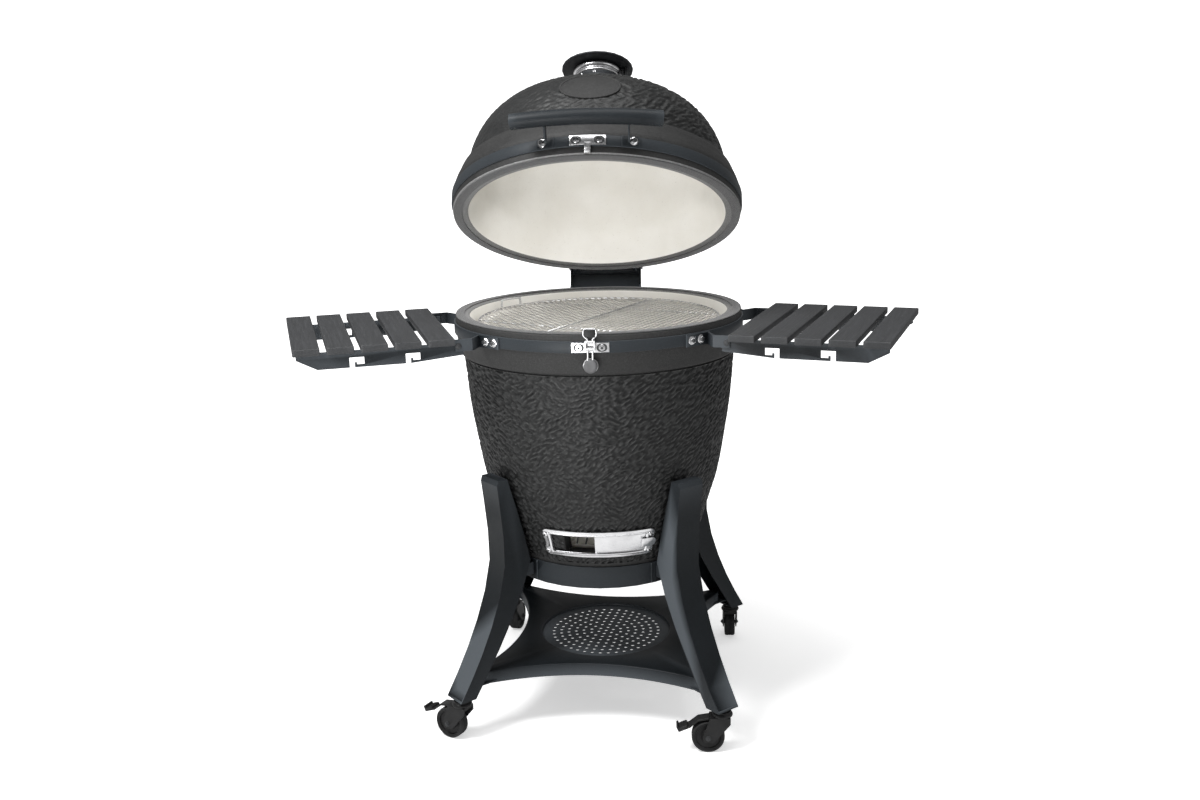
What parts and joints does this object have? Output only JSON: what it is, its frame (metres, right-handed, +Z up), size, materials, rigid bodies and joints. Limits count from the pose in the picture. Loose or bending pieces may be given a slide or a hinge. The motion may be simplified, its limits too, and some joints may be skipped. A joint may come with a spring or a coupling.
{
  "type": "kamado ceramic grill",
  "caption": "Ceramic kamado grill on a wheeled stand with a sprung lid, split cooking grid, sliding draft door, top vent and fold-down side shelves.",
  "frame": {"origin": "on the floor under the axis of the ceramic body, which is also the centre of the overall footprint", "axes": "+Z up; front (draft door, latch and lid handle) towards -Y, hinge towards +Y; +X to the right of someone facing the front"},
  "size_m": [1.2416, 0.7132, 1.2991],
  "materials": {
    "ceramic_textured": "matte",
    "ceramic_interior": "gloss",
    "powder_coat": "satin",
    "stainless": "satin",
    "cast_iron": "matte",
    "caster_plastic": "matte",
    "tread": "matte",
    "plank_board": "matte",
    "felt": "matte"
  },
  "bodies": {
    "grill": {"stand_ring": "powder_coat", "bottom_shelf": "powder_coat", "base_shell": "ceramic_textured", "base_gasket": "felt", "base_band": "powder_coat", "firebox": "ceramic_interior", "fire_ring": "ceramic_interior", "charcoal_grate": "cast_iron", "grid_right": "stainless", "draft_door_frame": "stainless", "hinge_lower": "powder_coat", "hinge_pin": "stainless", "latch_plate": "stainless", "leg_front_right": "powder_coat", "leg_front_left": "powder_coat", "leg_rear_right": "powder_coat", "leg_rear_left": "powder_coat", "shelf_arm_right_front": "powder_coat", "shelf_arm_right_rear": "powder_coat", "shelf_arm_left_front": "powder_coat", "shelf_arm_left_rear": "powder_coat"},
    "lid": {"lid_shell": "ceramic_textured", "lid_gasket": "felt", "lid_band": "powder_coat", "lid_handle": "powder_coat", "catch_plate": "stainless", "hinge_upper": "powder_coat", "vent_collar": "stainless", "vent_cap": "cast_iron"},
    "damper": {"damper_disc": "cast_iron"},
    "draft_door": {"draft_door": "stainless"},
    "latch_lever": {"latch_lever": "stainless"},
    "latch_bail": {"latch_bail": "stainless"},
    "grid_flap": {"grid_left": "stainless"},
    "grid_grip": {"grid_handle": "stainless"},
    "shelf_right": {"shelf_rail_right_front": "powder_coat", "shelf_rail_right_rear": "powder_coat", "plank_right_1": "plank_board", "plank_right_2": "plank_board", "plank_right_3": "plank_board", "plank_right_4": "plank_board", "plank_right_5": "plank_board"},
    "shelf_left": {"shelf_rail_left_front": "powder_coat", "shelf_rail_left_rear": "powder_coat", "plank_left_1": "plank_board", "plank_left_2": "plank_board", "plank_left_3": "plank_board", "plank_left_4": "plank_board", "plank_left_5": "plank_board"},
    "caster_front_right": {"caster_fork_front_right": "caster_plastic"},
    "wheel_front_right": {"wheel_front_right": "tread"},
    "brake_front_right": {"brake_pedal_front_right": "caster_plastic"},
    "caster_front_left": {"caster_fork_front_left": "caster_plastic"},
    "wheel_front_left": {"wheel_front_left": "tread"},
    "brake_front_left": {"brake_pedal_front_left": "caster_plastic"},
    "caster_rear_right": {"caster_fork_rear_right": "caster_plastic"},
    "wheel_rear_right": {"wheel_rear_right": "tread"},
    "caster_rear_left": {"caster_fork_rear_left": "caster_plastic"},
    "wheel_rear_left": {"wheel_rear_left": "tread"}
  },
  "joints": [
    {"name": "lid_hinge", "type": "hinge", "parent": "grill", "child": "lid", "pos_m": [0, 0.348, 0.843], "axis": [1, 0, 0], "range_deg": [-35, 28.5]},
    {"name": "damper_turn", "type": "hinge", "parent": "lid", "child": "damper", "pos_m": [0, 0.17816, 1.25951], "axis": [0, 0.4772, 0.8788], "range_deg": [0, 90]},
    {"name": "draft_door_slide", "type": "hinge", "parent": "grill", "child": "draft_door", "pos_m": [0, 0, 0.39], "axis": [0, 0, 1], "range_deg": [-23.3, 0]},
    {"name": "latch_lever_turn", "type": "hinge", "parent": "grill", "child": "latch_lever", "pos_m": [0, -0.292, 0.783], "axis": [-1, 0, 0], "range_deg": [0, 90]},
    {"name": "latch_bail_turn", "type": "hinge", "parent": "grill", "child": "latch_bail", "pos_m": [0, -0.293, 0.795], "axis": [1, 0, 0], "range_deg": [0, 60]},
    {"name": "shelf_right_fold", "type": "hinge", "parent": "grill", "child": "shelf_right", "pos_m": [0.28801, -0.09413, 0.781], "axis": [0.3107, 0.9505, 0], "range_deg": [0, 90]},
    {"name": "shelf_left_fold", "type": "hinge", "parent": "grill", "child": "shelf_left", "pos_m": [-0.28801, -0.09413, 0.781], "axis": [0.3107, -0.9505, 0], "range_deg": [0, 90]},
    {"name": "grid_flap_lift", "type": "hinge", "parent": "grill", "child": "grid_flap", "pos_m": [0, 0, 0.789], "axis": [-0.4571, -0.8894, 0], "range_deg": [-55, 0]},
    {"name": "grid_grip_fold", "type": "hinge", "parent": "grid_flap", "child": "grid_grip", "pos_m": [-0.188, 0.126, 0.7963], "axis": [0.7071, 0.7071, 0], "range_deg": [0, 85]},
    {"name": "caster_swivel_front_right", "type": "hinge", "parent": "grill", "child": "caster_front_right", "pos_m": [0.23055, -0.26994, 0.08], "axis": [0, 0, 1], "continuous": true},
    {"name": "wheel_spin_front_right", "type": "hinge", "parent": "caster_front_right", "child": "wheel_front_right", "pos_m": [0.20355, -0.26994, 0.0315], "axis": [0, -1, 0], "continuous": true},
    {"name": "brake_front_right_press", "type": "hinge", "parent": "caster_front_right", "child": "brake_front_right", "pos_m": [0.20405, -0.26994, 0.069], "axis": [0, -1, 0], "range_deg": [0, 5]},
    {"name": "caster_swivel_front_left", "type": "hinge", "parent": "grill", "child": "caster_front_left", "pos_m": [-0.26994, -0.23055, 0.08], "axis": [0, 0, 1], "continuous": true},
    {"name": "wheel_spin_front_left", "type": "hinge", "parent": "caster_front_left", "child": "wheel_front_left", "pos_m": [-0.29378, -0.21788, 0.0315], "axis": [-0.4695, -0.8829, 0], "continuous": true},
    {"name": "brake_front_left_press", "type": "hinge", "parent": "caster_front_left", "child": "brake_front_left", "pos_m": [-0.29334, -0.21811, 0.069], "axis": [-0.4695, -0.8829, 0], "range_deg": [0, 5]},
    {"name": "caster_swivel_rear_right", "type": "hinge", "parent": "grill", "child": "caster_rear_right", "pos_m": [0.26994, 0.23055, 0.08], "axis": [0, 0, 1], "continuous": true},
    {"name": "wheel_spin_rear_right", "type": "hinge", "parent": "caster_rear_right", "child": "wheel_rear_right", "pos_m": [0.26994, 0.25755, 0.0315], "axis": [-1, 0, 0], "continuous": true},
    {"name": "caster_swivel_rear_left", "type": "hinge", "parent": "grill", "child": "caster_rear_left", "pos_m": [-0.23055, 0.26994, 0.08], "axis": [0, 0, 1], "continuous": true},
    {"name": "wheel_spin_rear_left", "type": "hinge", "parent": "caster_rear_left", "child": "wheel_rear_left", "pos_m": [-0.22494, 0.29635, 0.0315], "axis": [-0.9781, 0.2079, 0], "continuous": true}
  ]
}
